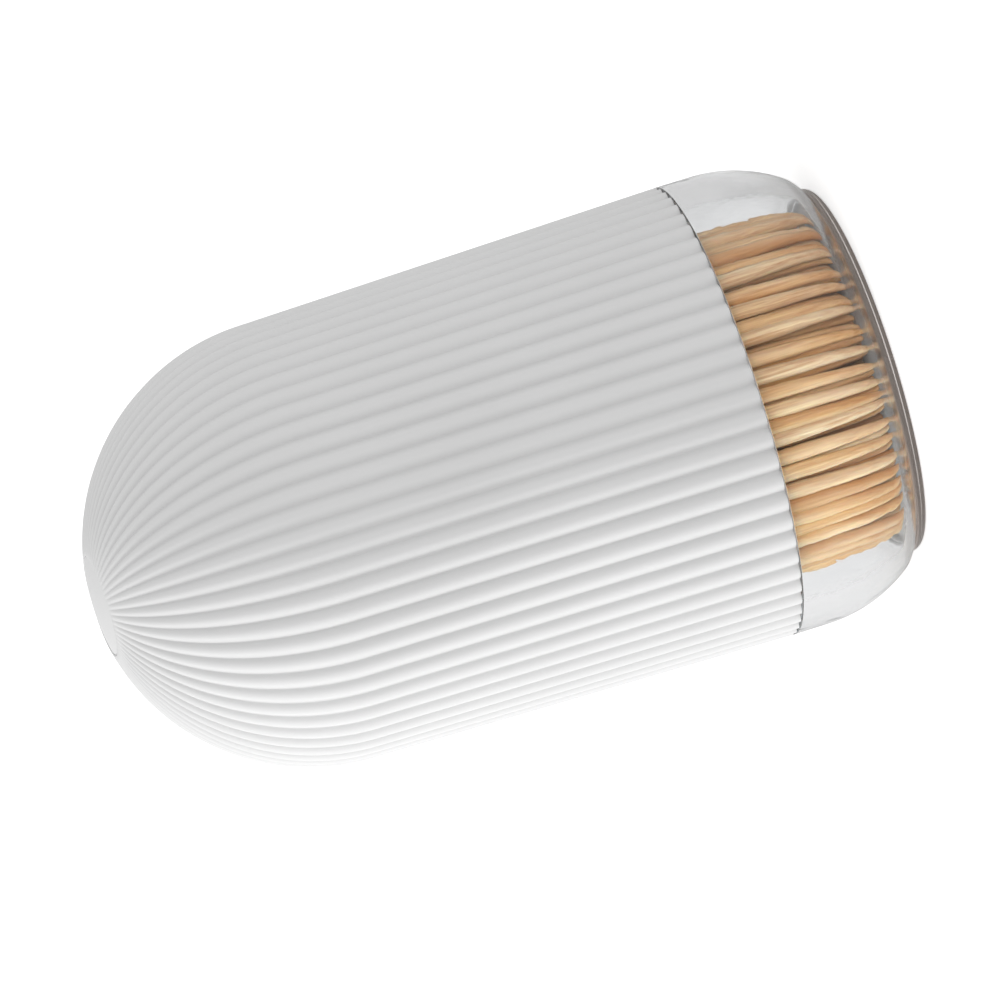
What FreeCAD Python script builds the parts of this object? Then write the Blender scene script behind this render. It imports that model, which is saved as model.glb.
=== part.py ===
import FreeCAD, Part
import math
import os
import Sketcher

# Toothpick dispenser: a reeded dome cover that lifts off a thick clear cup full of toothpicks.
# Millimetres, +Z up, origin at the centre of the foot's flat underside.

# Driving dimensions: alias, value, what it is
DIMENSIONS = (
    ("seam_radius", 30.0, "radius of cover and cup where they meet, over the reeds"),
    ("cup_height", 19.0, "height of the cup's shoulder above the table"),
    ("seam_gap", 0.12, "open line between the shoulder and the cover's lower edge"),
    ("cover_height", 85.1, "cover, from its lower edge to the crown"),
    ("draft_angle", 1.1, "taper of the cover's side and of the spigot, degrees"),
    ("cover_wall", 2.1, "cover's wall, from the top of a reed to the hollow"),
    ("reed_count", 64, "reeds around the cover"),
    ("reed_depth", 0.75, "valley between two reeds at the seam"),
    ("reed_phase", 4.2, "angle of the first valley, degrees"),
    ("crown_radius", 6.6, "smooth disc in the crown, at which the reeds run out to nothing"),
    ("crown_thickness", 0.9, "crown disc's thickness"),
    ("crown_sink", 0.15, "depth of the disc's face below the dome over the reeds"),
    ("crown_play", 0.05, "clearance around the crown disc"),
    ("cup_wall", 3.7, "cup's wall, below its shoulder"),
    ("floor_thickness", 0.7, "cup's floor, above the foot"),
    ("floor_inset", 7.0, "how far the bore curves in, down to the flat of the floor"),
    ("floor_round", 5.5, "lower, tighter part of the curved bore"),
    ("straight_side", 4.8, "straight part of the cup's side, below its shoulder"),
    ("corner_inset", 6.9, "how far the side curves in, down to the foot"),
    ("corner_round", 4.3, "lower, tighter part of the curved side"),
    ("spigot_height", 16.0, "spigot, above the shoulder"),
    ("spigot_play", 0.08, "clearance between the spigot and the cover"),
    ("rim_break", 0.4, "bevel on the spigot's two upper edges"),
    ("foot_step", 1.2, "the foot stands this far out from the end of the curved side"),
    ("foot_height", 1.5, "foot's thickness"),
    ("foot_lower_round", 1.1, "rounding of the foot's lower edge"),
    ("foot_upper_round", 0.3, "rounding of the foot's upper edge"),
    ("pick_length", 65.0, "one toothpick"),
    ("pick_radius", 1.0, "its round middle"),
    ("pick_taper", 12.0, "length over which each end narrows"),
    ("pick_nose", 2.5, "length of the steeper nose at each end"),
    ("pick_nose_radius", 0.62, "radius where the nose begins"),
    ("pick_tip_radius", 0.25, "blunt end of the nose"),
    ("pick_gap", 0.18, "least clearance between toothpicks around a ring"),
    ("ring_gap", 0.19, "clearance between rings of toothpicks"),
    ("bundle_play", 3.3, "least clearance between the bundle and the bore"),
    ("bundle_parts", 10, "sectors of the bundle, each a group of toothpicks"),
)

# Sizes that follow from the driving ones, as expressions of the sheet
DRAFT = "dims.draft_angle * 1deg"
MOUTH_HEIGHT = "(dims.cup_height + dims.seam_gap)"
DOME_RADIUS = (
    f"((dims.seam_radius * cos({DRAFT}) - dims.cover_height * sin({DRAFT}))"
    f" / (1 - sin({DRAFT})))"
)
DOME_CENTRE = f"({MOUTH_HEIGHT} + dims.cover_height - {DOME_RADIUS})"
CAVITY_RADIUS = f"({DOME_RADIUS} - dims.cover_wall)"
RECESS_RADIUS = "(dims.crown_radius + dims.crown_play)"
DISC_TOP = f"({DOME_RADIUS} - dims.crown_sink)"
DISC_UNDERSIDE = f"({DISC_TOP} - dims.crown_thickness)"
MOUTH_BORE = f"(dims.seam_radius - dims.cover_wall / cos({DRAFT}))"
RIM_HEIGHT = "(dims.cup_height + dims.spigot_height)"
BORE_RADIUS = "(dims.seam_radius - dims.cup_wall)"
FLOOR_HEIGHT = "(dims.foot_height + dims.floor_thickness)"
FLOOR_FLAT = f"({BORE_RADIUS} - dims.floor_inset)"
CORNER_HEIGHT = "(dims.cup_height - dims.straight_side)"
CORNER_RADIUS = "(dims.seam_radius - dims.corner_inset)"
FOOT_RADIUS = f"({CORNER_RADIUS} + dims.foot_step)"
PICK_SPACING = "(2 * dims.pick_radius + dims.pick_gap)"
RING_SPACING = "(2 * dims.pick_radius + dims.ring_gap)"
BUNDLE_ROOM = f"({BORE_RADIUS} - dims.bundle_play - dims.pick_radius)"

CUT_PAST = 5.0          # cutting forms reach this far past the faces that they open
STEPS_ACROSS_REED = 8
STEPS_UP_SIDE = 20
STEPS_OVER_DOME = 20
SEW_TOLERANCE = 0.001

AXIS = "axis"           # marks a vertex that lies on the axis of revolution
TABLE = "table"         # marks a vertex at height 0

doc = FreeCAD.newDocument("toothpick_dispenser")
dims = doc.addObject("Spreadsheet::Sheet", "dims")


def fill_sheet():
    for row, (alias, value, note) in enumerate(DIMENSIONS, start=1):
        dims.set(f"A{row}", alias)
        dims.set(f"B{row}", str(value))
        dims.set(f"C{row}", note)
        dims.setAlias(f"B{row}", alias)
    doc.recompute()


def value_of(expression):
    """The number that an expression of the sheet comes to."""
    result = dims.evalExpression(expression)
    return float(getattr(result, "Value", result))


def radius_on_sphere(sphere, radius):
    """Height above the dome's centre of a sphere's point at the given radius, as an expression."""
    return f"({DOME_CENTRE} + sqrt({sphere} * {sphere} - {radius} * {radius}))"


class HalfSection:
    """A closed half section in the XZ plane, drawn vertex by vertex and bound to the sheet."""

    def __init__(self, body, name):
        self.sketch = body.newObject("Sketcher::SketchObject", name)
        plane = [f for f in body.Origin.OriginFeatures if f.Role == "XZ_Plane"][0]
        self.sketch.AttachmentSupport = [(plane, "")]
        self.sketch.MapMode = "FlatFace"
        self.first = None
        self.last = None
        self.at = None

    def vertex(self, x, z):
        x_value = 0.0 if x == AXIS else value_of(x)
        z_value = 0.0 if z == TABLE else value_of(z)
        return FreeCAD.Vector(x_value, z_value, 0)

    def constrain(self, *parts):
        return self.sketch.addConstraint(Sketcher.Constraint(*parts))

    def pin(self, end, x, z, point):
        """Hold one end of a segment at expressions for its radius and height."""
        geometry, position = end
        if x == AXIS:
            self.constrain("PointOnObject", geometry, position, -2)
        else:
            index = self.constrain("DistanceX", -1, 1, geometry, position, point.x)
            self.sketch.setExpression(f"Constraints[{index}]", x)
        if z == TABLE:
            self.constrain("PointOnObject", geometry, position, -1)
        else:
            index = self.constrain("DistanceY", -1, 1, geometry, position, point.y)
            self.sketch.setExpression(f"Constraints[{index}]", z)

    def start(self, x, z):
        self.at = self.vertex(x, z)
        self.start_place = (x, z, self.at)

    def join(self, start_end, finish_end, smooth=False):
        if self.last:
            self.constrain("Tangent" if smooth else "Coincident", *self.last, *start_end)
        else:
            self.first = start_end
            self.pin(start_end, *self.start_place)
        self.last = finish_end

    def line(self, x, z, smooth=False):
        point = self.vertex(x, z)
        segment = self.sketch.addGeometry(Part.LineSegment(self.at, point), False)
        self.join((segment, 1), (segment, 2), smooth)
        self.pin((segment, 2), x, z, point)
        self.at = point

    def arc(self, x, z, radius, centre_on_left, smooth=False, pinned=True, sized=True):
        """An arc to (x, z); centre_on_left is seen along the direction of travel.

        smooth continues the direction before it. An arc that is not pinned, or not sized,
        leaves its end or its radius to the smooth joints around it.
        """
        point = self.vertex(x, z)
        size = value_of(radius)
        chord = point - self.at
        offset = math.sqrt(max(size ** 2 - (chord.Length / 2) ** 2, 0))
        left = FreeCAD.Vector(-chord.y, chord.x, 0).normalize()
        side = 1 if centre_on_left else -1
        centre = self.at + chord / 2 + left * (offset * side)
        circle = Part.Circle(centre, FreeCAD.Vector(0, 0, 1), size)
        begin, end = (self.at, point) if centre_on_left else (point, self.at)
        angles = [math.atan2(p.y - centre.y, p.x - centre.x) for p in (begin, end)]
        segment = self.sketch.addGeometry(Part.ArcOfCircle(circle, *angles), False)
        ends = ((segment, 1), (segment, 2)) if centre_on_left else ((segment, 2), (segment, 1))
        self.join(*ends, smooth)
        if pinned:
            self.pin(ends[1], x, z, point)
        if sized:
            index = self.constrain("Radius", segment, size)
            self.sketch.setExpression(f"Constraints[{index}]", radius)
        self.at = point

    def close(self):
        """The last straight side, back to the first vertex."""
        segment = self.sketch.addGeometry(Part.LineSegment(self.at, self.start_place[2]), False)
        self.constrain("Coincident", *self.last, segment, 1)
        self.constrain("Coincident", segment, 2, *self.first)


def revolved(label, draw):
    """A body whose half section, drawn by draw(section), turns once around Z."""
    body = doc.addObject("PartDesign::Body", label)
    section = HalfSection(body, label + "_section")
    draw(section)
    turn = body.newObject("PartDesign::Revolution", label + "_turn")
    turn.Profile = section.sketch
    turn.ReferenceAxis = (section.sketch, ["V_Axis"])
    turn.Angle = 360
    body.Tip = turn
    section.sketch.Visibility = False
    return body


# ---- cover -------------------------------------------------------------------------------

def reed_inset(radius, across):
    """How far a point lies under the smooth dome: 0 on top of a reed, deepest in a valley.

    The reed is a round arch across its width. It keeps its proportions as it narrows with
    the dome's radius, and runs out to nothing at the crown disc.
    """
    depth = value_of("dims.reed_depth") * radius / value_of("dims.seam_radius")
    fade = 1 - (value_of("dims.crown_radius") / radius) ** 4
    return depth * fade * (2 * across - 1) ** 2


def reed_face(rows, turned):
    """One reed's surface over rows of (radius, height, lean).

    Radius and height are on the smooth dome, and the reed's valleys go in from there,
    level where lean is 0 and downwards by that angle otherwise.
    """
    pitch = 2 * math.pi / value_of("dims.reed_count")
    grid = []
    for radius, height, lean in rows:
        line = []
        for step in range(STEPS_ACROSS_REED + 1):
            across = step / STEPS_ACROSS_REED
            inset = reed_inset(radius, across)
            reach = radius - inset * math.cos(lean)
            angle = turned + across * pitch
            line.append(FreeCAD.Vector(
                reach * math.cos(angle),
                reach * math.sin(angle),
                height - inset * math.sin(lean),
            ))
        grid.append(line)
    surface = Part.BSplineSurface()
    surface.interpolate(grid)
    return surface.toShape()


def reed_rows():
    """Rows up the cover's straight side and over its dome, to where the reeds have run out."""
    draft = math.radians(value_of("dims.draft_angle"))
    dome_radius = value_of(DOME_RADIUS)
    dome_centre = value_of(DOME_CENTRE)
    low_radius = value_of("dims.seam_radius")
    low_height = value_of(MOUTH_HEIGHT)
    high_radius = dome_radius * math.cos(draft)
    high_height = dome_centre + dome_radius * math.sin(draft)
    rows = []
    for step in range(STEPS_UP_SIDE):
        part = step / STEPS_UP_SIDE
        rows.append((
            low_radius + part * (high_radius - low_radius),
            low_height + part * (high_height - low_height),
            0.0,
        ))
    last = math.acos(value_of("dims.crown_radius") / dome_radius)
    for step in range(STEPS_OVER_DOME + 1):
        slope = draft + (last - draft) * step / STEPS_OVER_DOME
        rows.append((
            dome_radius * math.cos(slope),
            dome_centre + dome_radius * math.sin(slope),
            slope - draft,
        ))
    return rows


def lid(skin, height):
    """The flat face that closes the skin's open edge at a height."""
    open_edges = [e for e in skin.Edges
                  if all(abs(v.Z - height) < SEW_TOLERANCE for v in e.Vertexes)]
    return Part.Face(Part.Wire(Part.__sortEdges__(open_edges)))


def sewn(faces):
    skin = Part.Compound(faces)
    skin.sewShape(SEW_TOLERANCE)
    return skin.Shells[0]


def make_reeded_blank():
    """The cover's outside as a full solid: reeds, a flat underside and a flat top."""
    pitch_degrees = 360 / value_of("dims.reed_count")
    rows = reed_rows()
    pattern = reed_face(rows, math.radians(value_of("dims.reed_phase")))
    faces = []
    for reed in range(int(value_of("dims.reed_count"))):
        face = pattern.copy()
        face.rotate(FreeCAD.Vector(0, 0, 0), FreeCAD.Vector(0, 0, 1), reed * pitch_degrees)
        faces.append(face)
    skin = sewn(faces)
    lids = [lid(skin, row[1]) for row in (rows[0], rows[-1])]
    solid = Part.makeSolid(sewn(skin.Faces + lids))
    if solid.Volume < 0:
        solid.reverse()
    blank = doc.addObject("Part::Feature", "reeded_blank")
    blank.Shape = solid
    return blank


def draw_cavity(section):
    """The cover's hollow: the outside's cone and dome, one wall thickness further in."""
    below = f"({MOUTH_HEIGHT} - {CUT_PAST})"
    spring = f"({DOME_CENTRE} + {CAVITY_RADIUS} * sin({DRAFT}))"
    section.start(AXIS, below)
    section.line(f"{MOUTH_BORE} + {CUT_PAST} * tan({DRAFT})", below)
    section.line(f"{CAVITY_RADIUS} * cos({DRAFT})", spring)
    section.arc(AXIS, f"{DOME_CENTRE} + {CAVITY_RADIUS}", CAVITY_RADIUS, True)
    section.close()


def draw_recess(section):
    """The shallow seat for the crown disc."""
    above = f"({DOME_CENTRE} + {DOME_RADIUS} + {CUT_PAST})"
    section.start(AXIS, f"{DOME_CENTRE} + {DISC_UNDERSIDE}")
    section.arc(RECESS_RADIUS, radius_on_sphere(DISC_UNDERSIDE, RECESS_RADIUS), DISC_UNDERSIDE, False)
    section.line(RECESS_RADIUS, above)
    section.line(AXIS, above)
    section.close()


def make_cover():
    hollowed = doc.addObject("Part::Cut", "hollowed_cover")
    hollowed.Base = make_reeded_blank()
    hollowed.Tool = revolved("cover_cavity", draw_cavity)
    cover = doc.addObject("Part::Cut", "cover")
    cover.Base = hollowed
    cover.Tool = revolved("crown_recess", draw_recess)
    return cover


def draw_crown_disc(section):
    """A thin disc, curved like the dome, that lies in its seat in the crown."""
    section.start(AXIS, f"{DOME_CENTRE} + {DISC_UNDERSIDE}")
    section.arc(
        "dims.crown_radius",
        radius_on_sphere(DISC_UNDERSIDE, "dims.crown_radius"),
        DISC_UNDERSIDE,
        False,
    )
    section.line("dims.crown_radius", radius_on_sphere(DISC_TOP, "dims.crown_radius"))
    section.arc(AXIS, f"{DOME_CENTRE} + {DISC_TOP}", DISC_TOP, True)
    section.close()


# ---- cup and foot ------------------------------------------------------------------------

def corner(side, bottom, inset, lower_round):
    """Radius of a corner's upper arc, and the place where it meets the lower one.

    A corner is two arcs that meet smoothly, from a level bottom up into a vertical side. It
    ends at CORNER_HEIGHT, and the expressions are for the sheet.
    """
    upward = f"({CORNER_HEIGHT} - {bottom})"
    upper_round = (
        f"(({inset} * {inset} + {upward} * {upward} - 2 * {upward} * {lower_round})"
        f" / (2 * ({inset} - {lower_round})))"
    )
    # the two arcs meet on the line through both centres
    reach = f"({upper_round} / ({upper_round} - {lower_round}))"
    meet_x = f"({side} - {upper_round} + ({upper_round} - {inset}) * {reach})"
    meet_z = f"({CORNER_HEIGHT} + ({bottom} + {lower_round} - {CORNER_HEIGHT}) * {reach})"
    return upper_round, meet_x, meet_z


def draw_cup(section):
    """Thick cup: curved corner, straight side, shoulder, tapered spigot, and the bore."""
    outer_round, outer_x, outer_z = corner(
        "dims.seam_radius", "dims.foot_height", "dims.corner_inset", "dims.corner_round"
    )
    inner_round, inner_x, inner_z = corner(
        BORE_RADIUS, FLOOR_HEIGHT, "dims.floor_inset", "dims.floor_round"
    )
    spigot_foot = f"({MOUTH_BORE} - dims.spigot_play + dims.seam_gap * tan({DRAFT}))"
    spigot_top = f"({spigot_foot} - dims.spigot_height * tan({DRAFT}))"
    below_rim = f"({RIM_HEIGHT} - dims.rim_break)"

    section.start(AXIS, "dims.foot_height")
    section.line(CORNER_RADIUS, "dims.foot_height")
    section.arc(outer_x, outer_z, "dims.corner_round", True, smooth=True, pinned=False)
    section.arc("dims.seam_radius", CORNER_HEIGHT, outer_round, True, smooth=True, sized=False)
    section.line("dims.seam_radius", "dims.cup_height", smooth=True)
    section.line(spigot_foot, "dims.cup_height")
    section.line(f"{spigot_top} + dims.rim_break * tan({DRAFT})", below_rim)
    section.line(f"{spigot_top} - dims.rim_break", RIM_HEIGHT)
    section.line(f"{BORE_RADIUS} + dims.rim_break", RIM_HEIGHT)
    section.line(BORE_RADIUS, below_rim)
    section.line(BORE_RADIUS, CORNER_HEIGHT)
    section.arc(inner_x, inner_z, inner_round, False, smooth=True, pinned=False, sized=False)
    section.arc(FLOOR_FLAT, FLOOR_HEIGHT, "dims.floor_round", False, smooth=True)
    section.line(AXIS, FLOOR_HEIGHT, smooth=True)
    section.close()


def draw_foot(section):
    """Round foot with a softly rounded edge."""
    section.start(AXIS, TABLE)
    section.line(f"{FOOT_RADIUS} - dims.foot_lower_round", TABLE)
    section.arc(FOOT_RADIUS, "dims.foot_lower_round", "dims.foot_lower_round", True)
    section.line(FOOT_RADIUS, "dims.foot_height - dims.foot_upper_round")
    section.arc(
        f"{FOOT_RADIUS} - dims.foot_upper_round",
        "dims.foot_height",
        "dims.foot_upper_round",
        True,
    )
    section.line(AXIS, "dims.foot_height")
    section.close()


# ---- toothpicks --------------------------------------------------------------------------

def draw_toothpick(section):
    """A round stick that narrows to a blunt point at both ends, standing on the floor."""
    low = FLOOR_HEIGHT
    high = f"({FLOOR_HEIGHT} + dims.pick_length)"
    section.start(AXIS, low)
    section.line("dims.pick_tip_radius", low)
    section.line("dims.pick_nose_radius", f"{low} + dims.pick_nose")
    section.line("dims.pick_radius", f"{low} + dims.pick_taper")
    section.line("dims.pick_radius", f"{high} - dims.pick_taper")
    section.line("dims.pick_nose_radius", f"{high} - dims.pick_nose")
    section.line("dims.pick_tip_radius", high)
    section.line(AXIS, high)
    section.close()


def floor_rise(radius):
    """How far the floor has curved up under a toothpick at the given radius."""
    beyond = max(radius + value_of("dims.pick_tip_radius") - value_of(FLOOR_FLAT), 0)
    curve = value_of("dims.floor_round")
    return curve - math.sqrt(curve ** 2 - beyond ** 2)


def bundle_places():
    """Angle and radius of each toothpick around the middle one, ring by ring."""
    places = []
    rings = int(value_of(BUNDLE_ROOM) / value_of(RING_SPACING))
    for ring in range(1, rings + 1):
        radius = ring * value_of(RING_SPACING)
        count = int(2 * math.pi * radius / value_of(PICK_SPACING))
        stagger = ring * math.pi * (3 - math.sqrt(5))
        for stick in range(count):
            angle = stagger + 2 * math.pi * stick / count
            places.append((angle % (2 * math.pi), radius))
    return places


def make_bundle(pattern):
    """Copies of the middle toothpick, each standing on the floor, in one node for each sector."""
    parts = int(value_of("dims.bundle_parts"))
    groups = [[] for part in range(parts)]
    for angle, radius in bundle_places():
        copy = pattern.copy()
        copy.translate(FreeCAD.Vector(
            radius * math.cos(angle),
            radius * math.sin(angle),
            floor_rise(radius),
        ))
        groups[int(angle / (2 * math.pi) * parts)].append(copy)
    nodes = []
    for number, group in enumerate(groups, start=1):
        node = doc.addObject("Part::Feature", f"toothpicks_sector_{number:02d}")
        node.Shape = Part.Compound(group)
        nodes.append(node)
    return nodes


# ---- the whole dispenser -----------------------------------------------------------------

def build():
    fill_sheet()
    nodes = [
        make_cover(),
        revolved("crown_disc", draw_crown_disc),
        revolved("clear_cup", draw_cup),
        revolved("foot_disc", draw_foot),
        revolved("centre_toothpick", draw_toothpick),
    ]
    doc.recompute()
    nodes += make_bundle(nodes[-1].Shape)
    doc.recompute()
    return nodes


def check(nodes):
    for item in doc.Objects:
        if {"Invalid", "Error"} & set(item.State):
            raise RuntimeError(f"{item.Label}: {item.State}")
    for node in nodes:
        if node.Shape.isNull() or not node.Shape.isValid():
            raise RuntimeError(f"{node.Label}: bad shape")


def export(nodes):
    os.makedirs("parts", exist_ok=True)
    for node in nodes:
        node.Shape.exportStep(f"parts/{node.Label}.step")
        print(f"{node.Label}: {len(node.Shape.Solids)} solid(s), {node.Shape.Volume:.1f} mm3")


parts = build()
check(parts)
export(parts)
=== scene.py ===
import math

import bpy
import numpy as np
from mathutils import Matrix, Vector


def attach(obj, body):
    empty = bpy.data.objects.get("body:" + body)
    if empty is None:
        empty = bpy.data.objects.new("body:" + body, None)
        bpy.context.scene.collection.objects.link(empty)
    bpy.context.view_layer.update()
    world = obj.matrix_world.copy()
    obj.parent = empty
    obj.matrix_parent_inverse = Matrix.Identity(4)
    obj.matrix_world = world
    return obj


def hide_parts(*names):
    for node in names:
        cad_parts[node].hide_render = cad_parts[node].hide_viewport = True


# Toothpick dispenser: reeded white cover, clear bonded cup and foot, and the bundle of toothpicks.
# Metres, +Z up, origin at the centre of the foot's underside. The dictionaries are in millimetres.

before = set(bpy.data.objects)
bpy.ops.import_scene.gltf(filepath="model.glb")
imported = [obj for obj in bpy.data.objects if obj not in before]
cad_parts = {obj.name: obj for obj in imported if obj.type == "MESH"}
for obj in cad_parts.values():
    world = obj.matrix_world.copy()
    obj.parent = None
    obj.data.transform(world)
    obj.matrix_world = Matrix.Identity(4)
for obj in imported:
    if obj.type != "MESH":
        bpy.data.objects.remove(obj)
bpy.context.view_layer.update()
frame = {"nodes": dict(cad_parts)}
mm = 0.001
print("frame loaded:", ", ".join(frame["nodes"]))


def arc(centreR, centreZ, radius, startDegrees, endDegrees, count):
    # points of a circle's arc in the (radius, height) plane, at even angles
    angles = np.radians(np.linspace(startDegrees, endDegrees, count))
    return np.stack([centreR + radius * np.cos(angles), centreZ + radius * np.sin(angles)], 1)


def straight(start, end, count, margin=0.0):
    # points from start to end; with a margin, one more stands that far from each end,
    # so that smooth shading keeps to the rounded edges
    start, end = np.array(start, float), np.array(end, float)
    length = np.linalg.norm(end - start)
    shares = np.linspace(0, 1, count)
    if margin:
        near = margin / length
        shares = np.concatenate([[0], np.linspace(near, 1 - near, count), [1]])
    return start + shares[:, None] * (end - start)


def joined(*runs):
    # one profile from several runs, without the points where two runs meet
    points = np.concatenate([np.atleast_2d(run) for run in runs])
    steps = np.linalg.norm(np.diff(points, axis=0), axis=1)
    return points[np.concatenate([[True], steps > 1e-6])]


def builtMesh(name, coords, loops, sizes):
    # coords are in metres; loops lists the corners of all faces in turn, sizes how many each has
    mesh = bpy.data.meshes.new(name)
    mesh.vertices.add(len(coords))
    mesh.vertices.foreach_set("co", coords.ravel())
    mesh.loops.add(len(loops))
    mesh.loops.foreach_set("vertex_index", loops)
    mesh.polygons.add(len(sizes))
    mesh.polygons.foreach_set("loop_start", np.concatenate([[0], np.cumsum(sizes)[:-1]]))
    mesh.update(calc_edges=True)
    mesh.validate()
    mesh.shade_smooth()
    return mesh


def addValues(mesh, name, values):
    # one number per vertex, which the materials read by its name
    attribute = mesh.attributes.new(name, "FLOAT", "POINT")
    attribute.data.foreach_set("value", values.astype(np.float32))


def surfaceMesh(name, grid, poles):
    # grid is rows x columns x 3, closed around its columns. Point (row, column) is number
    # row x columns + column. Each row is joined to the next by quads, and a fan of triangles
    # joins the first and the last row to the two poles, whose numbers come last.
    rows, columns = grid.shape[:2]
    coords = np.concatenate([grid.reshape(-1, 3), np.array(poles, float)]) * mm
    row, here = np.meshgrid(np.arange(rows - 1), np.arange(columns), indexing="ij")
    beside = (here + 1) % columns
    lower = row * columns
    upper = lower + columns
    quads = np.stack([lower + here, lower + beside, upper + beside, upper + here], -1)
    here, beside = here[0], beside[0]
    lastRow = (rows - 1) * columns
    firstPole = rows * columns
    fans = np.concatenate([
        np.stack([np.full(columns, firstPole), beside, here], 1),
        np.stack([np.full(columns, firstPole + 1), lastRow + here, lastRow + beside], 1),
    ])
    loops = np.concatenate([quads.ravel(), fans.ravel()])
    sizes = np.concatenate([np.full(quads.size // 4, 4), np.full(len(fans), 3)])
    return builtMesh(name, coords, loops, sizes)


def piece(name, mesh, material, slot, body, *nodes):
    # a piece that moves with one body and takes the place of the named nodes, if there are any
    made = bpy.data.objects.new(name, mesh)
    bpy.context.scene.collection.objects.link(made)
    mesh.materials.append(material)
    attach(made, body)
    if nodes:
        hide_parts(*nodes)
    return made


def turned(name, profile, columns):
    # a profile of (radius, height), turned once round the axis; its ends are on the axis
    angles = np.linspace(0, 2 * math.pi, columns, endpoint=False)
    radius, height = profile[1:-1, 0, None], profile[1:-1, 1, None]
    grid = np.stack([radius * np.cos(angles), radius * np.sin(angles),
                     height + 0 * angles], -1)
    poles = [(0, 0, profile[0, 1]), (0, 0, profile[-1, 1])]
    return surfaceMesh(name, grid, poles)


class Nodes:
    # shorthand for building a node tree from left to right
    def __init__(self, tree):
        self.tree = tree

    def link(self, output, socket):
        self.tree.links.new(output, socket)

    def add(self, kind, values=None, **settings):
        # values are the node's inputs by name or number, and another node's output is linked
        node = self.tree.nodes.new(kind)
        for key, value in settings.items():
            setattr(node, key, value)
        for key, value in (values or {}).items():
            if isinstance(value, bpy.types.NodeSocket):
                self.link(value, node.inputs[key])
            else:
                node.inputs[key].default_value = value
        return node

    def math(self, operation, a, b=0.0):
        return self.add("ShaderNodeMath", {0: a, 1: b}, operation=operation).outputs[0]

    def scaled(self, value, low, high, toLow=0.0, toHigh=1.0):
        return self.add("ShaderNodeMapRange", {
            "Value": value, "From Min": low, "From Max": high, "To Min": toLow, "To Max": toHigh,
        }).outputs["Result"]

    def mix(self, factor, a, b, blend="MIX"):
        # inputs 6 and 7 and output 2 are the ones for colours
        node = self.add("ShaderNodeMix", data_type="RGBA", blend_type=blend)
        for index, value in ((0, factor), (6, a), (7, b)):
            if isinstance(value, bpy.types.NodeSocket):
                self.link(value, node.inputs[index])
            else:
                node.inputs[index].default_value = value
        return node.outputs[2]

    def noise(self, vector, scale, detail=2.0, roughness=0.5):
        return self.add("ShaderNodeTexNoise", {
            "Vector": vector, "Scale": scale, "Detail": detail, "Roughness": roughness,
        }).outputs["Fac"]


def newMaterial(name):
    made = bpy.data.materials.new(name)
    made.use_nodes = True
    return made, Nodes(made.node_tree), made.node_tree.nodes["Principled BSDF"]


def newGroup(name, inputs, outputs):
    group = bpy.data.node_groups.new(name, "ShaderNodeTree")
    for label, value in inputs.items():
        kind = "NodeSocketVector" if value is None else "NodeSocketFloat"
        socket = group.interface.new_socket(label, in_out="INPUT", socket_type=kind)
        if value is not None:
            socket.default_value = value
    for label, kind in outputs.items():
        group.interface.new_socket(label, in_out="OUTPUT", socket_type=kind)
    tools = Nodes(group)
    return group, tools, tools.add("NodeGroupInput").outputs, tools.add("NodeGroupOutput").inputs


def rgb(red, green, blue):
    return (red, green, blue, 1.0)


noiseSpan = (0.3, 0.7)        # a noise texture's values hardly leave this span
skinPattern = {
    "slowScale": 45.0,        # repeats in a metre, of patches that are lighter or darker
    "wideScale": 320.0,       # of low waves
    "fineScale": 2600.0,      # of the grain, at a grain size of 1
    "heights": (0.35, 0.65),  # shares of grain and waves in the height
    "cellScale": 95.0,        # of cells that may hold a speck of dust
    "speckFrom": 0.93,        # a cell holds one where its own value is above this
    "speckEdge": (0.02, 0.05),  # of a cell's width, over which a speck fades out
}

# Fine skin of a moulded surface: slow shade drift, small pits and a few specks of dust
mouldedSkin, tools, given, result = newGroup(
    "mouldedSkin",
    {"Position": None, "Grain Size": 1.0, "Drift": 0.02, "Specks": 0.1},
    {"Shade": "NodeSocketFloat", "Gloss": "NodeSocketFloat", "Height": "NodeSocketFloat"},
)
slow = tools.noise(given["Position"], skinPattern["slowScale"], 3.0)
fineScale = tools.math("DIVIDE", skinPattern["fineScale"], given["Grain Size"])
fine = tools.noise(given["Position"], fineScale, 2.0, 0.6)
wide = tools.noise(given["Position"], skinPattern["wideScale"], 2.0)
cells = tools.add("ShaderNodeTexVoronoi", {
    "Vector": given["Position"], "Scale": skinPattern["cellScale"],
})
chosen = tools.math("GREATER_THAN", cells.outputs["Color"], skinPattern["speckFrom"])
dot = tools.scaled(cells.outputs["Distance"], *skinPattern["speckEdge"], 1.0, 0.0)
speck = tools.math("MULTIPLY", tools.math("MULTIPLY", dot, chosen), given["Specks"])
shade = tools.math("MULTIPLY", tools.scaled(slow, *noiseSpan, -1.0, 1.0), given["Drift"])
tools.link(tools.math("SUBTRACT", tools.math("ADD", shade, 1.0), speck), result["Shade"])
tools.link(tools.scaled(fine, *noiseSpan), result["Gloss"])
grain, waves = [tools.math("MULTIPLY", height, share)
                for height, share in zip((fine, wide), skinPattern["heights"])]
tools.link(tools.math("ADD", grain, waves), result["Height"])


def addSkin(tools, place, look):
    return tools.add("ShaderNodeGroup", {
        "Position": place, "Grain Size": look["grainSize"], "Drift": look["drift"],
        "Specks": look["specks"],
    }, node_tree=mouldedSkin)


def addBump(tools, shader, height, strength, distance):
    bump = tools.add("ShaderNodeBump", {
        "Strength": strength, "Distance": distance, "Height": height,
    })
    tools.link(bump.outputs["Normal"], shader.inputs["Normal"])


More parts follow.
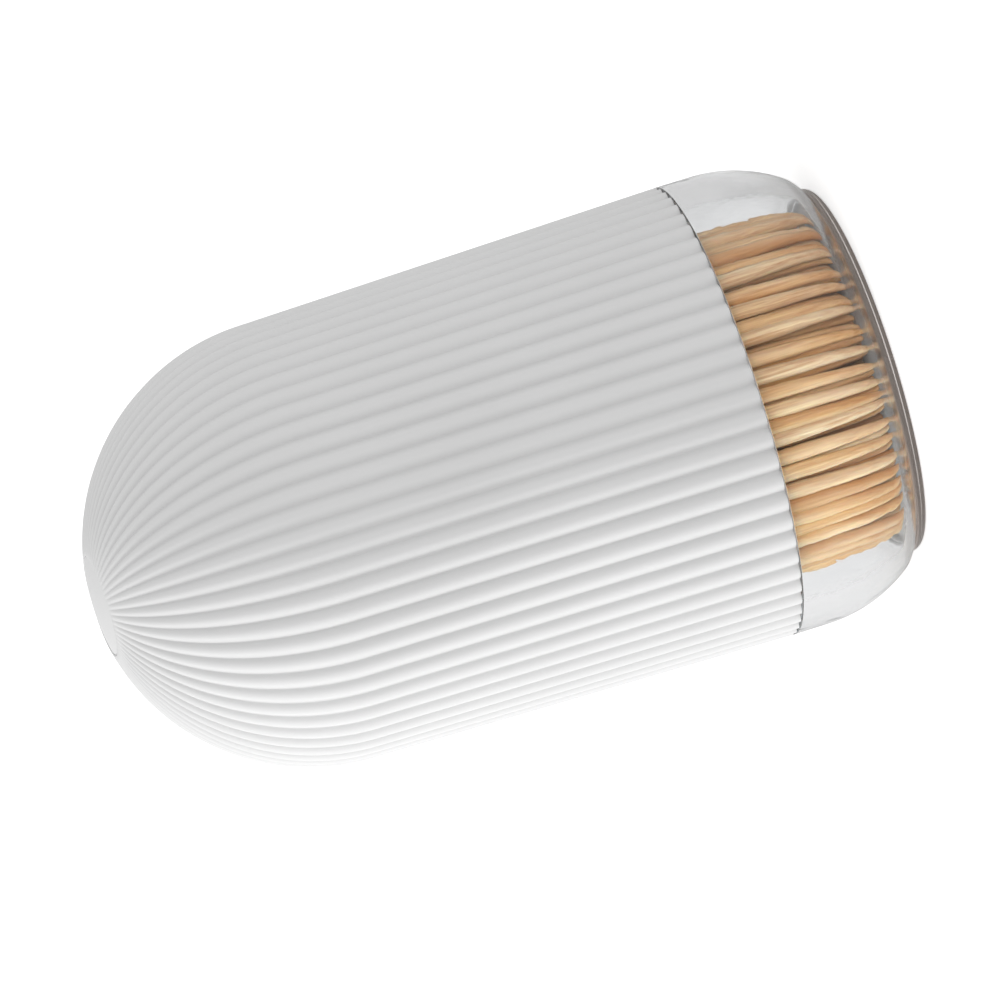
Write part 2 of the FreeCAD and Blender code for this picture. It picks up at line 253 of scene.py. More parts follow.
def mouldedPlastic(name, look):
    made, tools, shader = newMaterial(name)
    place = tools.add("ShaderNodeTexCoord").outputs["Object"]
    skin = addSkin(tools, place, look)
    # painted shade: the valleys between the reeds are greyed in the colour, but hardly on the side
    # away from the key
    valley = tools.add("ShaderNodeAttribute", attribute_name="valley").outputs["Fac"]
    right = tools.add("ShaderNodeSeparateXYZ", {0: place}).outputs["X"]
    deepestPaintedShade = tools.scaled(right, *look["valleyFade"], look["valleyShade"], look["farPaintedShadeLevel"])
    paintedValleyShade = tools.scaled(valley, *look["valleySpan"], 1.0, deepestPaintedShade)
    shade = tools.math("MULTIPLY", skin.outputs["Shade"], paintedValleyShade)
    tools.link(tools.mix(1.0, rgb(*look["colour"]), shade, "MULTIPLY"), shader.inputs["Base Color"])
    lowest = look["roughness"] - look["glossSpread"]
    highest = look["roughness"] + look["glossSpread"]
    rough = tools.scaled(skin.outputs["Gloss"], 0.0, 1.0, lowest, highest)
    tools.link(rough, shader.inputs["Roughness"])
    addBump(tools, shader, skin.outputs["Height"], look["bump"], look["bumpDepth"])
    shader.inputs["IOR"].default_value = look["ior"]
    shader.inputs["Specular IOR Level"].default_value = look["specular"]
    return made


cover = {
    "mouthRadius": 30.0,      # over the reeds
    "mouthHeight": 19.12,
    "domeRadius": 28.9159,
    "domeCentre": 75.3041,
    "draftDegrees": 1.1,
    "wall": 2.1,
    "reeds": 64,
    "reedDepth": 0.75,
    "reedPhase": 4.2,         # degrees, first valley
    "reedEnd": 6.6,           # radius at which the reeds have run out
    "valleyWidth": 0.09,      # rounding of a valley, as a share of half a reed
    "edgeRound": 0.08,
    "recessEdge": 6.65,       # radius of the crown's recess
    "recessRadius": 27.8659,  # sphere of the recess's floor
    "recessLip": 0.12,        # rounding where the recess meets the dome
    "crownPlay": 0.05,
    "crownSink": 0.15,        # the crown disc lies this much under the dome
    "crownRim": 0.14,         # rounding of its edge
    "domeRows": 54,
}
coverLook = {
    "colour": (0.80, 0.80, 0.80),
    "roughness": 0.52,
    "glossSpread": 0.05,      # how far the roughness wanders either way
    "ior": 1.5,
    "specular": 0.35,
    "bump": 0.35,
    "bumpDepth": 0.00008,     # metres
    "grainSize": 1.0,
    "drift": 0.012,
    "specks": 0.12,
    "valleySpan": (0.1, 0.8),  # shares of a reed's depth over which its valley's painted shade comes in
    "valleyShade": 0.89,      # level of that painted shade in the colour at its deepest
    "farPaintedShadeLevel": 0.99,   # the same on the side away from the key
    "valleyFade": (0.012, 0.027),  # metres to the right, over which one goes into the other
}
crownLook = dict(coverLook, roughness=0.48, drift=0.01, bump=0.3)

# places across one reed, closer together near its valleys
reedPlaces = np.array([0.0, 0.03, 0.07, 0.13, 0.22, 0.35, 0.5, 0.65, 0.78, 0.87, 0.93, 0.97])


def onSphere(centreZ, sphere, radii):
    # points (radius, height) on a sphere about (0, centreZ)
    return np.stack([radii, centreZ + np.sqrt(sphere ** 2 - radii ** 2)], 1)


def coverSurface(c):
    # Each row of the profile has a radius, height, lean and share. A reed is an arch across its
    # width: inset = depth x radius / mouth radius x (1 - (end / radius)^4) x (1 - away)^2, with
    # away the rounded distance from the valley. It is taken off the radius by its cosine of
    # lean and off the height by its sine, and share says how much of it a row takes.
    draft = math.radians(c["draftDegrees"])
    centre, dome = c["domeCentre"], c["domeRadius"]
    edge, lip, recessEdge = c["edgeRound"], c["recessLip"], c["recessEdge"]

    # the recess, its wall with one more row about halfway up, and the lip that meets the dome
    recess = onSphere(centre, c["recessRadius"], np.linspace(0, recessEdge, 5))
    lipTop = centre + math.sqrt(dome ** 2 - recessEdge ** 2)
    halfway = lipTop - 0.5
    recessWall = np.array([[recessEdge, halfway], [recessEdge, lipTop - lip],
                           [recessEdge + lip / 6, lipTop - lip / 3]])
    inner = np.concatenate([recess, recessWall])
    slopes = np.linspace(math.acos((recessEdge + 0.75 * lip) / dome), draft, c["domeRows"])
    domeRun = np.stack([dome * np.cos(slopes), centre + dome * np.sin(slopes)], 1)
    # the reeded side, its rounded lower edge and the mouth's plain inner edge
    low = np.array([c["mouthRadius"], c["mouthHeight"]])
    along = (low - domeRun[-1]) / np.linalg.norm(low - domeRun[-1])
    side = straight(domeRun[-1], low - along * edge, 9)[1:]
    mouth = np.array([c["mouthRadius"] - c["wall"] / math.cos(draft), c["mouthHeight"]])
    keep, nick = 0.2, 0.03    # plain margin and bevel of the mouth's inner edge
    lowEdge = np.array([
        low + [-0.05 * edge, 0.42 * edge],
        low + [-0.3 * edge, 0.1 * edge],
        low + [-edge, 0.0],
        low + [-1.0, 0.0],
        mouth + [keep, 0.0],
        mouth + [nick, nick],
        mouth + [-keep * math.tan(draft), keep],
    ])
    # the hollow: up along the draft, and a dome of its own
    cavity = dome - c["wall"]
    spring = [cavity * math.cos(draft), centre + cavity * math.sin(draft)]
    innerSide = straight(lowEdge[-1], spring, 5)[1:]
    innerSlopes = np.linspace(draft, math.pi / 2, 14)[1:]
    innerDome = np.stack([cavity * np.cos(innerSlopes), centre + cavity * np.sin(innerSlopes)], 1)
    profile = np.concatenate([inner, domeRun, side, lowEdge, innerSide, innerDome])
    share = np.concatenate([
        np.zeros(len(inner)), np.ones(len(domeRun) + len(side)), [1.0, 1.0, 1.0],
        np.zeros(4 + len(innerSide) + len(innerDome)),
    ])
    lean = np.zeros(len(profile))
    lean[len(inner):len(inner) + len(domeRun)] = slopes - draft

    pitch = 2 * math.pi / c["reeds"]
    reed, across = np.meshgrid(np.arange(c["reeds"]), reedPlaces, indexing="ij")
    angles = (math.radians(c["reedPhase"]) + (reed + across) * pitch).ravel()
    fromValley = 1 - np.abs(2 * across.ravel() - 1)
    away = np.sqrt(fromValley ** 2 + c["valleyWidth"] ** 2)
    arch = (1 - np.minimum(away, 1)) ** 2
    radius = profile[1:-1, 0, None]
    fade = 1 - (c["reedEnd"] / np.maximum(radius, c["reedEnd"])) ** 4
    inset = c["reedDepth"] * radius / c["mouthRadius"] * fade * arch * share[1:-1, None]
    reach = radius - inset * np.cos(lean[1:-1, None])
    height = profile[1:-1, 1, None] - inset * np.sin(lean[1:-1, None])
    grid = np.stack([reach * np.cos(angles), reach * np.sin(angles), height], -1)
    poles = [(0, 0, profile[0, 1]), (0, 0, profile[-1, 1])]
    # the rows run from the crown outwards and down, so the columns are reversed to face outwards
    mesh = surfaceMesh("coverShell", grid[:, ::-1], poles)
    # how deep in a valley each point lies: inset / (depth x radius / mouth radius)
    valley = np.append((fade * arch * share[1:-1, None])[:, ::-1].ravel(), [0, 0])
    addValues(mesh, "valley", valley)
    return mesh


def crownSurface(c):
    # a thin lens: two spheres about the dome's centre, height = centre + sqrt(sphere^2 - radius^2),
    # joined by a rounded rim, whose arc lies a hair higher because the upper sphere slopes down
    centre, top, rim = c["domeCentre"], c["domeRadius"] - c["crownSink"], c["crownRim"]
    radius, slopeLift = c["recessEdge"] - c["crownPlay"], 0.03
    upperRun = onSphere(centre, top, np.linspace(0, radius - rim, 12))
    lowerRun = onSphere(centre, c["recessRadius"], np.linspace(radius, 0, 6))
    edgeHeight = centre + math.sqrt(top ** 2 - radius ** 2)
    rimRun = arc(radius - rim, edgeHeight - rim + slopeLift, rim, 76, 0, 6)
    profile = joined(upperRun, rimRun, lowerRun)
    return turned("crownDisc", profile[::-1], 128)


coverPlastic = mouldedPlastic("satinWhitePlastic", coverLook)
crownPlastic = mouldedPlastic("satinWhiteCrown", crownLook)
coverPiece = piece("coverShell", coverSurface(cover), coverPlastic,
                   "white_plastic", "cover", "cover")
piece("crownDisc", crownSurface(cover), crownPlastic, "crown_plastic", "cover", "crown_disc")
print("cover made:", len(coverPiece.data.polygons), "faces")


cup = {
    "radius": 30.0,
    "shoulder": 19.0,
    "sideFrom": 14.2,         # height where the side begins to curve in
    "cornerInset": 6.9,       # from there down to the foot
    "cornerRound": 4.3,       # lower, tighter part of the curve
    "footRadius": 24.3,
    "footHeight": 1.5,
    "footRounds": (0.3, 1.1),  # upper and lower edge
    "footPlay": 0.01,         # gap under the cup
    "bondInset": 0.05,        # the bonded face ends this far inside the cup's flat
    "bondLift": 0.02,         # and lies this far above it
    "bondThickness": 0.04,
    "edgeRound": 0.08,        # at the shoulder, and where the spigot rises from it
    "spigotFoot": 27.8219,
    "spigotTop": 27.5147,
    "rim": 35.0,
    "rimBreak": 0.4,          # bevel on the bore's side, and height of the outer one
    "outerBreak": 0.39,       # width of the outer one
    "bore": 26.3,
    "floor": 2.2,
    "floorInset": 7.0,        # the hollow narrows by this much, down to the flat of its floor
    "floorRound": 5.5,        # lower part of that curve
}
clearLook = {
    "colour": (0.985, 0.99, 0.995),
    "ior": 1.58,
    "mirror": 0.45,           # how much of the face-on reflection is kept
    "roughness": 0.018,
    "glossSpread": 0.4,       # share of it by which it wanders either way
    "wave": 0.22,             # unevenness of the polished skin
    "waveDepth": 0.00012,     # metres
    "grainSize": 8.0,
    "drift": 0.01,
    "specks": 0.0,
    "shadow": (0.90, 0.91, 0.92),   # what is left of a lamp's light behind it
    # in metres: where the satin finish begins, begins to fade, ends, and its greatest radius
    "satin": (0.0018, 0.0032, 0.0042, 0.0238),
    "satinRoughness": 0.35,
}
footLook = dict(clearLook, colour=(0.93, 0.86, 0.82), shadow=(0.88, 0.82, 0.78))
bondLook = dict(coverLook, colour=(0.70, 0.77, 0.84), roughness=0.6, specular=0.2, bump=0.2,
                drift=0.03, specks=0.0)

# the margin of a straight run on a large flat, around the rim and at the shoulder
faceMargin, rimMargin, stepMargin = 0.05, 0.04, 0.03


def bondProfile(c):
    # the bonded face between cup and foot, a skin inside the clear plastic just above the joint
    radius = c["radius"] - c["cornerInset"] - c["bondInset"]
    low = c["footHeight"] + c["bondLift"]
    high = low + c["bondThickness"]
    return joined(straight((0, low), (radius, low), 4, faceMargin),
                  straight((radius, high), (0, high), 4, faceMargin))


def footProfile(c):
    # the lower edge is rounded more than the upper one
    radius, top = c["footRadius"], c["footHeight"] - c["footPlay"]
    upper, lower = c["footRounds"]
    return joined(
        straight((0, 0), (radius - lower, 0), 8, faceMargin),
        arc(radius - lower, lower, lower, -90, 0, 14),
        arc(radius - upper, top - upper, upper, 0, 90, 8),
        straight((radius - upper, top), (0, top), 8, faceMargin),
    )


def corner(side, sideFrom, bottom, inset, tight):
    # two arcs from a level bottom up into a vertical side. The lower one has the radius tight,
    # and the two meet smoothly where the upper one's radius is
    # (inset^2 + rise^2 - 2 x rise x tight) / (2 x (inset - tight)).
    rise = sideFrom - bottom
    wide = (inset ** 2 + rise ** 2 - 2 * rise * tight) / (2 * (inset - tight))
    meet = math.degrees(math.atan2(bottom + tight - sideFrom, wide - inset))
    return joined(arc(side - inset, bottom + tight, tight, -90, meet, 18),
                  arc(side - wide, sideFrom, wide, meet, 0, 34))


def cupProfile(c):
    # from the centre of the underside out to the corner, up the side, over the shoulder and
    # the spigot, and down the bore to the centre of the floor
    edge, side, bore, rim = c["edgeRound"], c["radius"], c["bore"], c["rim"]
    shoulder, spigot, rimBreak = c["shoulder"], c["spigotFoot"], c["rimBreak"]
    outside = corner(side, c["sideFrom"], c["footHeight"], c["cornerInset"], c["cornerRound"])
    hollow = corner(bore, c["sideFrom"], c["floor"], c["floorInset"], c["floorRound"])
    spigotSlope = (spigot - c["spigotTop"]) / (rim - shoulder)
    belowRim = spigot - spigotSlope * (rim - rimBreak - shoulder)
    onRim = belowRim - c["outerBreak"]
    aboveRoot = (spigot - 0.002, shoulder + edge + 0.01)
    return joined(
        straight((0, c["footHeight"]), outside[0], 8, faceMargin),
        outside,
        straight((side, c["sideFrom"]), (side, shoulder - edge), 4, stepMargin),
        arc(side - edge, shoulder - edge, edge, 0, 90, 6),
        straight((side - edge, shoulder), (spigot + edge, shoulder), 3, stepMargin),
        arc(spigot + edge, shoulder + edge, edge, 270, 181, 4),
        straight(aboveRoot, (belowRim, rim - rimBreak), 8, rimMargin),
        straight((belowRim, rim - rimBreak), (onRim, rim), 2, rimMargin),
        straight((onRim, rim), (bore + rimBreak, rim), 2, rimMargin),
        straight((bore + rimBreak, rim), (bore, rim - rimBreak), 2, rimMargin),
        straight((bore, rim - rimBreak), hollow[-1], 14, faceMargin),
        hollow[::-1],
        straight(hollow[0], (0, c["floor"]), 8, faceMargin),
    )


def clearPlasticMaterial(name, look):
    made, tools, shader = newMaterial(name)
    place = tools.add("ShaderNodeTexCoord").outputs["Object"]
    skin = addSkin(tools, place, look)
    tinted = tools.mix(1.0, rgb(*look["colour"]), skin.outputs["Shade"], "MULTIPLY")
    tools.link(tinted, shader.inputs["Base Color"])
    lowest = look["roughness"] * (1 - look["glossSpread"])
    highest = look["roughness"] * (1 + look["glossSpread"])
    rough = tools.scaled(skin.outputs["Gloss"], 0.0, 1.0, lowest, highest)
    # the floor of the hollow is satin, and clears as the hollow curves up
    split = tools.add("ShaderNodeSeparateXYZ", {0: place}).outputs
    squares = [tools.math("POWER", split[axis], 2.0) for axis in "XY"]
    away = tools.math("SQRT", tools.math("ADD", *squares))
    low, full, high, reach = look["satin"]
    above = tools.math("GREATER_THAN", split["Z"], low)
    inside = tools.math("MULTIPLY", above, tools.math("LESS_THAN", away, reach))
    fading = tools.scaled(split["Z"], full, high, look["satinRoughness"], 0.0)
    satin = tools.math("MULTIPLY", inside, fading)
    tools.link(tools.math("ADD", rough, satin), shader.inputs["Roughness"])
    addBump(tools, shader, skin.outputs["Height"], look["wave"], look["waveDepth"])
    shader.inputs["Transmission Weight"].default_value = 1.0
    shader.inputs["IOR"].default_value = look["ior"]
    shader.inputs["Specular Tint"].default_value = rgb(*[look["mirror"]] * 3)
    # the lamp's light passes straight through to the toothpicks and the floor
    path = tools.add("ShaderNodeLightPath").outputs
    passing = tools.add("ShaderNodeBsdfTransparent", {"Color": rgb(*look["shadow"])})
    mixed = tools.add("ShaderNodeMixShader", {
        0: path["Is Shadow Ray"], 1: shader.outputs[0], 2: passing.outputs[0],
    })
    surface = [node for node in made.node_tree.nodes if node.type == "OUTPUT_MATERIAL"][0]
    tools.link(mixed.outputs[0], surface.inputs["Surface"])
    return made


clearPlastic = clearPlasticMaterial("clearPolishedPlastic", clearLook)
footPlastic = clearPlasticMaterial("smokyFootPlastic", footLook)
cupPiece = piece("clearCup", turned("clearCup", cupProfile(cup), 288), clearPlastic,
                 "clear_plastic", "cup", "clear_cup")
piece("footDisc", turned("footDisc", footProfile(cup), 288), footPlastic,
      "foot_plastic", "cup", "foot_disc")
bondPlastic = mouldedPlastic("bondedFace", bondLook)
bondPiece = piece("bondedFace", turned("bondedFace", bondProfile(cup), 144), bondPlastic,
                  "foot_plastic", "cup")
print("cup made:", len(cupPiece.data.polygons), "faces")


picks = {
    "length": 65.0,
    "floor": cup["floor"],
    "floorRound": cup["floorRound"],
    "flat": cup["bore"] - cup["floorInset"],  # radius at which the floor begins to curve up
    "ringSpacing": 2.19,
    "pickSpacing": 2.18,
    "rings": 10,
    "sectors": 10,
    "sides": 9,
    "lean": 1.7,              # degrees, most that a pick leans to a side
    "bend": 0.06,             # the floor's curve pushes the lower ends in by this share
    "bendHeight": 8.0,
    "oval": 0.08,             # most that a pick is flattened
    "seed": 7,
}
# height along the stick and radius there
pickProfile = np.array([
    [0.0, 0.25], [0.5, 0.36], [1.2, 0.46], [2.5, 0.62], [4.0, 0.70], [6.0, 0.79],
    [8.5, 0.88], [12.0, 1.0], [53.0, 1.0], [62.5, 0.62], [64.5, 0.36], [65.0, 0.25],
])
woodLook = {
    # colours from the darkest stick to the palest, each with the share of sticks below it
    "tones": ((0.0, (0.58, 0.32, 0.12)), (0.3, (0.78, 0.53, 0.25)),
              (0.7, (0.87, 0.68, 0.40)), (1.0, (0.93, 0.84, 0.62))),
    "fibreScale": 2600.0,     # repeats in a metre, across the stick
    "fibreStretch": 0.035,    # and as a share of that along it
    "streak": (0.46, 0.21, 0.07),
    "streakSpan": (0.35, 0.66, 0.0, 0.75),  # noise from and to, streak from and to
    "patchScale": 420.0,
    "patchStretch": 0.12,
    "pale": (0.95, 0.86, 0.68),
    "paleSpan": (0.4, 0.75, 0.0, 0.5),
    "ends": (0.52, 0.27, 0.12),
    "endSpan": (0.36, 0.5, 0.0, 0.35),      # share of the length away from the middle
    "roughness": (0.36, 0.58),
    "specular": 0.5,
    "subsurface": 0.25,
    "subsurfaceRadius": (0.0015, 0.0007, 0.0003),
    "bump": 0.4,
    "bumpDepth": 0.00006,     # metres
}


def bundlePlaces(p):
    # ring k holds as many picks as fit around it, each ring turned by the golden angle
    angles, rings = [np.zeros(1)], [np.zeros(1)]
    for ring in range(1, p["rings"] + 1):
        count = int(2 * math.pi * ring * p["ringSpacing"] / p["pickSpacing"])
        turn = ring * math.pi * (3 - math.sqrt(5))
        angles.append((turn + 2 * math.pi * np.arange(count) / count) % (2 * math.pi))
        rings.append(np.full(count, ring * p["ringSpacing"]))
    return np.concatenate(angles), np.concatenate(rings)


def pickMesh(name, angle, radius, p, rng):
    # Every stick is its profile carried along a line that leans sideways by its own share of
    # lean x sqrt(radius / outermost radius). Below bendHeight the line comes in by
    # bend x (1 - height / bendHeight)^2. Its own tone and a slight oval go with it.
    # It stands as high as the floor's curve at its place: round - sqrt(round^2 - beyond^2).
    count, rows, sides = len(angle), len(pickProfile), p["sides"]
    outermost = p["rings"] * p["ringSpacing"]
    lean = math.radians(p["lean"]) * rng.uniform(-1, 1, count) * np.sqrt(radius / outermost)
    tone = rng.random(count)
    oval = 1 - p["oval"] * rng.random(count)
    turn = rng.random(count) * 2 * math.pi
    height = pickProfile[:, 0]
    around = np.linspace(0, 2 * math.pi, sides, endpoint=False)
    above = height - p["length"] / 2
    slide = np.tan(lean)[:, None] * above
    pushed = 1 - p["bend"] * np.maximum(1 - height / p["bendHeight"], 0) ** 2
    reach = radius[:, None] * pushed
    middleX = reach * np.cos(angle)[:, None] - slide * np.sin(angle)[:, None]
    middleY = reach * np.sin(angle)[:, None] + slide * np.cos(angle)[:, None]
    wide = pickProfile[:, 1][None, :, None]
    facing = turn[:, None, None] + around
    x = middleX[:, :, None] + wide * np.cos(facing)
    y = middleY[:, :, None] + wide * np.sin(facing) * oval[:, None, None]
    fromAxis = np.hypot(middleX[:, 0], middleY[:, 0])
    beyond = np.maximum(fromAxis + pickProfile[0, 1] - p["flat"], 0)
    foot = p["floor"] + p["floorRound"] - np.sqrt(p["floorRound"] ** 2 - beyond ** 2)
    z = np.broadcast_to((foot[:, None] + height)[:, :, None], x.shape)
    coords = np.stack([x, y, z], -1).reshape(-1, 3) * mm
    stick, row, side = np.meshgrid(
        np.arange(count), np.arange(rows - 1), np.arange(sides), indexing="ij")
    lower = (stick * rows + row) * sides
    upper = lower + sides
    beside = (side + 1) % sides
    quads = np.stack([lower + side, lower + beside, upper + beside, upper + side], -1)
    starts = np.arange(count)[:, None] * rows * sides
    lowCaps = starts + np.arange(sides)[::-1]
    highCaps = starts + (rows - 1) * sides + np.arange(sides)
    caps = np.concatenate([lowCaps, highCaps])
    loops = np.concatenate([quads.ravel(), caps.ravel()])
    sizes = np.concatenate([np.full(quads.size // 4, 4), np.full(len(caps), sides)])
    mesh = builtMesh(name, coords, loops, sizes)
    addValues(mesh, "tone", np.repeat(tone, rows * sides))
    addValues(mesh, "along", np.tile(np.repeat(height / p["length"], sides), count))
    return mesh


def toneRamp(tools, factor, tones):
    # the first and the last colour go into the ramp's own two stops
    ramp = tools.add("ShaderNodeValToRGB", {"Fac": factor})
    stops = ramp.color_ramp.elements
    for stop, (place, colour) in zip(stops, (tones[0], tones[-1])):
        stop.position = place
        stop.color = rgb(*colour)
    for place, colour in tones[1:-1]:
        stops.new(place).color = rgb(*colour)
    return ramp.outputs["Color"]


def woodMaterial(look):
    made, tools, shader = newMaterial("paleToothpickWood")
    place = tools.add("ShaderNodeTexCoord").outputs["Object"]
    tone = tools.add("ShaderNodeAttribute", attribute_name="tone").outputs["Fac"]
    along = tools.add("ShaderNodeAttribute", attribute_name="along").outputs["Fac"]
    # the grain is read up to 3 metres off along x and 7 along z, so that no two sticks share it
    offset = tools.add("ShaderNodeCombineXYZ", {
        "X": tools.math("MULTIPLY", tone, 3.0), "Y": tone, "Z": tools.math("MULTIPLY", tone, 7.0),
    }).outputs[0]
    shifted = tools.add("ShaderNodeVectorMath", {0: place, 1: offset}, operation="ADD").outputs[0]

    def stretchedNoise(stretch, scale, detail, roughness=0.5):
        stretched = tools.add("ShaderNodeMapping", {
            "Vector": shifted, "Scale": (1.0, 1.0, stretch),
        }).outputs[0]
        return tools.noise(stretched, scale, detail, roughness)

    fibre = stretchedNoise(look["fibreStretch"], look["fibreScale"], 4.0, 0.65)
    patch = stretchedNoise(look["patchStretch"], look["patchScale"], 2.0)
    colour = toneRamp(tools, tone, look["tones"])
    colour = tools.mix(tools.scaled(fibre, *look["streakSpan"]), colour, rgb(*look["streak"]))
    colour = tools.mix(tools.scaled(patch, *look["paleSpan"]), colour, rgb(*look["pale"]))
    fromMiddle = tools.math("ABSOLUTE", tools.math("SUBTRACT", along, 0.5))
    colour = tools.mix(tools.scaled(fromMiddle, *look["endSpan"]), colour, rgb(*look["ends"]))
    tools.link(colour, shader.inputs["Base Color"])
    rough = tools.scaled(fibre, *noiseSpan, *look["roughness"])
    tools.link(rough, shader.inputs["Roughness"])
    shader.inputs["Specular IOR Level"].default_value = look["specular"]
    shader.inputs["Subsurface Weight"].default_value = look["subsurface"]
    shader.inputs["Subsurface Radius"].default_value = look["subsurfaceRadius"]
    shader.inputs["Subsurface Scale"].default_value = 1.0
    addBump(tools, shader, fibre, look["bump"], look["bumpDepth"])
    return made


wood = woodMaterial(woodLook)
rng = np.random.default_rng(picks["seed"])
placeAngles, placeRadii = bundlePlaces(picks)
sectorOf = (placeAngles / (2 * math.pi) * picks["sectors"]).astype(int)
middle = placeRadii == 0
bundle = bpy.data.collections.new("toothpicks")
bundle.objects.link(bondPiece)  # it takes the light of the bundle's lamps too


def addPicks(name, chosen, body, node):
    # the picks at the chosen places, as one piece of the bundle
    mesh = pickMesh(name, placeAngles[chosen], placeRadii[chosen], picks, rng)
    bundle.objects.link(piece(name, mesh, wood, "toothpick_wood", body, node))


addPicks("centrePick", middle, "toothpick", "centre_toothpick")
for sector in range(picks["sectors"]):
    number = f"{sector + 1:02d}"
    addPicks(f"picks{number}", (sectorOf == sector) & ~middle, "cup", f"toothpicks_sector_{number}")
print("toothpicks made:", len(placeAngles))


studio = {
    "ambient": 0.775,         # level of the soft light from all round
    # the room as the clear plastic mirrors it: its level behind the camera, and on the side away
    # from the key; each comes in over a span of the direction's y or x
    "nearSide": 0.45,
    "nearSpan": (-0.7, 0.2),
    "rightSide": 0.6,
    "rightSpan": (0.0, 0.8),
    "keyPower": 7.9,
    "keySize": 0.45,
    "keyPlace": (-1.26, 0.07, 0.43),
    # these two light the bundle alone. The first stands in for the light that the clear wall
    # gathers and throws on the toothpicks.
    "gatheredPower": 9.5,
    "gatheredColour": (0.81, 1.0, 0.98),
    "gatheredPlace": (-1.20, -0.45, 0.22),
    "fillPower": 9.0,
    "fillColour": (1.0, 0.70, 0.50),
    "fillPlace": (0.06, -1.28, 0.22),
    "bundleLampSize": 0.35,
    "lampAim": (0.0, 0.0, 0.05),
}
floorLook = {
    "reach": 40.0,            # metres from the centre
    "colour": (0.90, 0.90, 0.90),
    "roughness": 0.9,
    "lift": 0.6,              # brings the lit floor to white where the camera sees it
    # painted shade: as the clear plastic shows it, the floor's colour darkens to the near room's
    # level over a span of metres towards the camera, standing in for the darker room there, and by
    # this share of that over a span to the right, as a painted shadow of the object
    "nearSpan": (-0.12, -0.035),
    "rightShare": 0.35,
    "rightSpan": (0.03, 0.06),
}


def seenInGlass(tools, path):
    # 1 for rays that came through the clear plastic or off it, and off nothing rough before
    inGlass = tools.math("MAXIMUM", path["Is Glossy Ray"], path["Is Transmission Ray"])
    return tools.math("MULTIPLY", inGlass, tools.math("LESS_THAN", path["Diffuse Depth"], 0.5))


def makeFloor(look):
    mesh = bpy.data.meshes.new("floor")
    reach = look["reach"]
    corners = [(-reach, -reach, 0), (reach, -reach, 0), (reach, reach, 0), (-reach, reach, 0)]
    mesh.from_pydata(corners, [], [(0, 1, 2, 3)])
    made = bpy.data.objects.new("floor", mesh)
    bpy.context.scene.collection.objects.link(made)
    material, tools, shader = newMaterial("paleFloor")
    shader.inputs["Roughness"].default_value = look["roughness"]
    shader.inputs["Specular IOR Level"].default_value = 0.0
    shader.inputs["Emission Color"].default_value = rgb(1, 1, 1)
    path = tools.add("ShaderNodeLightPath").outputs
    lift = tools.math("MULTIPLY", path["Is Camera Ray"], look["lift"])
    tools.link(lift, shader.inputs["Emission Strength"])
    place = tools.add("ShaderNodeTexCoord").outputs["Object"]
    split = tools.add("ShaderNodeSeparateXYZ", {0: place}).outputs
    # painted shade and painted shadow: for rays through or off the clear plastic, the floor's
    # colour darkens towards the camera and to the right
    right = tools.scaled(split["X"], *look["rightSpan"], 0.0, look["rightShare"])
    near = tools.math("MAXIMUM", tools.scaled(split["Y"], *look["nearSpan"], 1.0, 0.0), right)
    paintedShadeInGlass = tools.math("MULTIPLY", seenInGlass(tools, path), near)
    paintedShadeColour = [studio["nearSide"] * level for level in look["colour"]]
    shade = tools.mix(paintedShadeInGlass, rgb(*look["colour"]), rgb(*paintedShadeColour))
    tools.link(shade, shader.inputs["Base Color"])
    mesh.materials.append(material)


def makeWorld():
    # Even soft light for all that it falls on. The camera sees white, and the clear plastic
    # sees grey towards the camera and to the right.
    world = bpy.data.worlds.new("softRoom")
    bpy.context.scene.world = world
    world.use_nodes = True
    tools = Nodes(world.node_tree)
    world.node_tree.nodes.clear()
    output = tools.add("ShaderNodeOutputWorld")
    path = tools.add("ShaderNodeLightPath").outputs
    soft = tools.add("ShaderNodeBackground", {"Color": rgb(1, 1, 1), "Strength": studio["ambient"]})
    direction = tools.add("ShaderNodeTexCoord").outputs["Generated"]
    towards = tools.add("ShaderNodeSeparateXYZ", {0: direction}).outputs
    sideways = tools.scaled(towards["X"], *studio["rightSpan"], 1.0, studio["rightSide"])
    nearSide = tools.scaled(towards["Y"], *studio["nearSpan"], studio["nearSide"], 1.0)
    grey = tools.math("MULTIPLY", sideways, nearSide)
    level = tools.math("MAXIMUM", grey, path["Is Camera Ray"])
    colour = tools.add("ShaderNodeCombineXYZ", {axis: level for axis in "XYZ"}).outputs[0]
    shown = tools.add("ShaderNodeBackground", {"Color": colour, "Strength": 1.0})
    seen = tools.math("MAXIMUM", path["Is Camera Ray"], seenInGlass(tools, path))
    mixed = tools.add("ShaderNodeMixShader", {0: seen, 1: soft.outputs[0], 2: shown.outputs[0]})
    tools.link(mixed.outputs[0], output.inputs["Surface"])


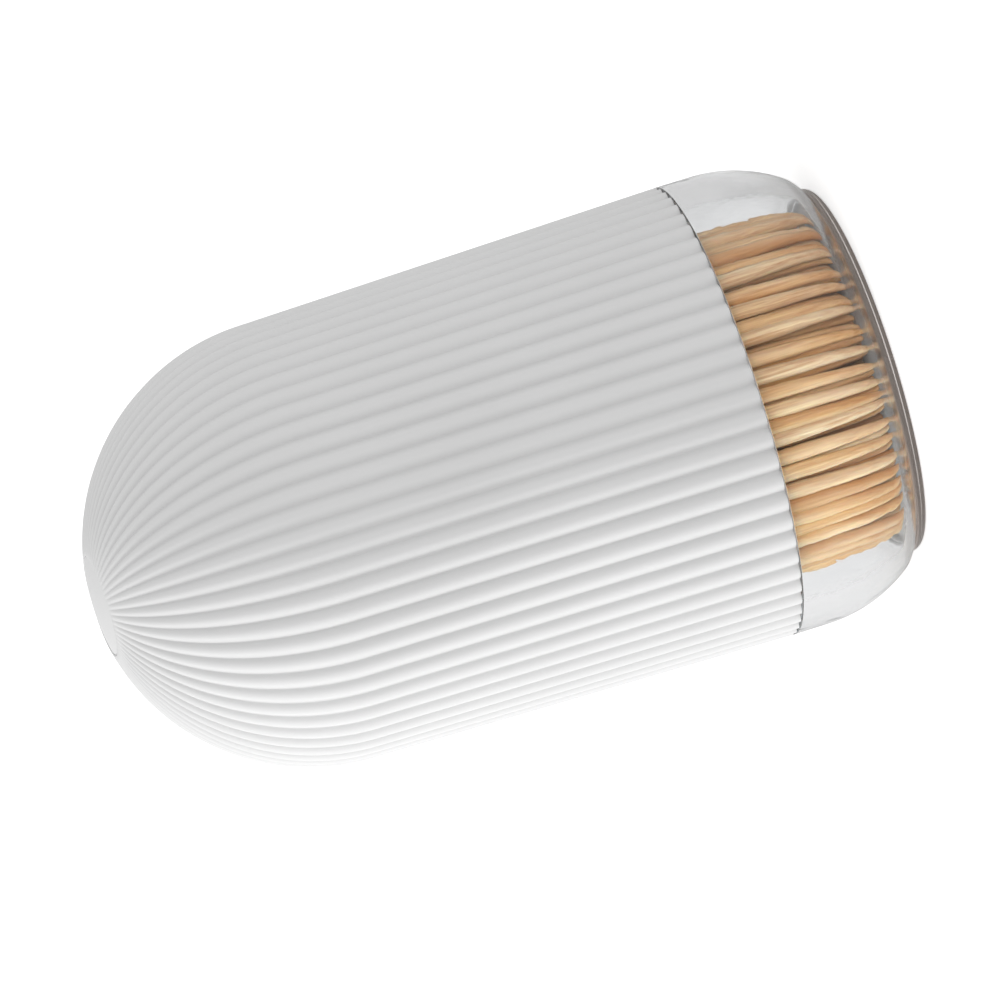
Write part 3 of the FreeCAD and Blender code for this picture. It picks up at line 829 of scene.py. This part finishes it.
def makeLamp(name, power, size, place, colour=(1, 1, 1), glints=False, receivers=None):
    # a square lamp aimed at the part; with receivers, it lights nothing but that collection
    light = bpy.data.lights.new(name, "AREA")
    light.shape = "SQUARE"
    light.size = size
    light.energy = power
    light.color = colour
    made = bpy.data.objects.new(name, light)
    bpy.context.scene.collection.objects.link(made)
    made.location = place
    made.visible_glossy = glints
    made.visible_transmission = False
    aim = Vector(studio["lampAim"]) - Vector(place)
    made.rotation_euler = aim.to_track_quat("-Z", "Y").to_euler()
    if receivers:
        made.light_linking.receiver_collection = receivers


view = {
    "elevation": 9.04,        # degrees above the horizon
    "roll": 107.34,           # degrees, turns the upright object onto its side
    "distance": 2400.0,
    "focal": 675.9,
    "sensor": 36.0,
    "centreHeight": 52.5,
    "offset": (2.94, -1.476),  # of the aim from the object's centre, right and up in the image
}


def makeCamera(v):
    # the camera's right and up, turned about its line of sight by the roll:
    # right' = cos x right - sin x up and up' = sin x right + cos x up
    elevation, roll = math.radians(v["elevation"]), math.radians(v["roll"])
    right = Vector((1, 0, 0))
    up = Vector((0, math.sin(elevation), math.cos(elevation)))
    back = Vector((0, -math.cos(elevation), math.sin(elevation)))
    rolledRight = math.cos(roll) * right - math.sin(roll) * up
    rolledUp = math.sin(roll) * right + math.cos(roll) * up
    centre = Vector((0, 0, v["centreHeight"]))
    sideways, upwards = v["offset"]
    place = centre + v["distance"] * back + sideways * rolledRight + upwards * rolledUp
    data = bpy.data.cameras.new("camera")
    data.lens = v["focal"]
    data.sensor_width = v["sensor"]
    data.clip_start = 0.01
    data.clip_end = 200.0
    made = bpy.data.objects.new("camera", data)
    bpy.context.scene.collection.objects.link(made)
    turn = Matrix((rolledRight, rolledUp, back)).transposed().to_4x4()
    made.matrix_world = Matrix.Translation(place * mm) @ turn
    bpy.context.scene.camera = made


makeFloor(floorLook)
makeWorld()
makeLamp("key", studio["keyPower"], studio["keySize"], studio["keyPlace"])
makeLamp("gathered", studio["gatheredPower"], studio["bundleLampSize"], studio["gatheredPlace"],
         studio["gatheredColour"], glints=True, receivers=bundle)
makeLamp("fill", studio["fillPower"], studio["bundleLampSize"], studio["fillPlace"],
         studio["fillColour"], receivers=bundle)
makeCamera(view)
bpy.context.scene.view_settings.view_transform = "Standard"
print("studio made")
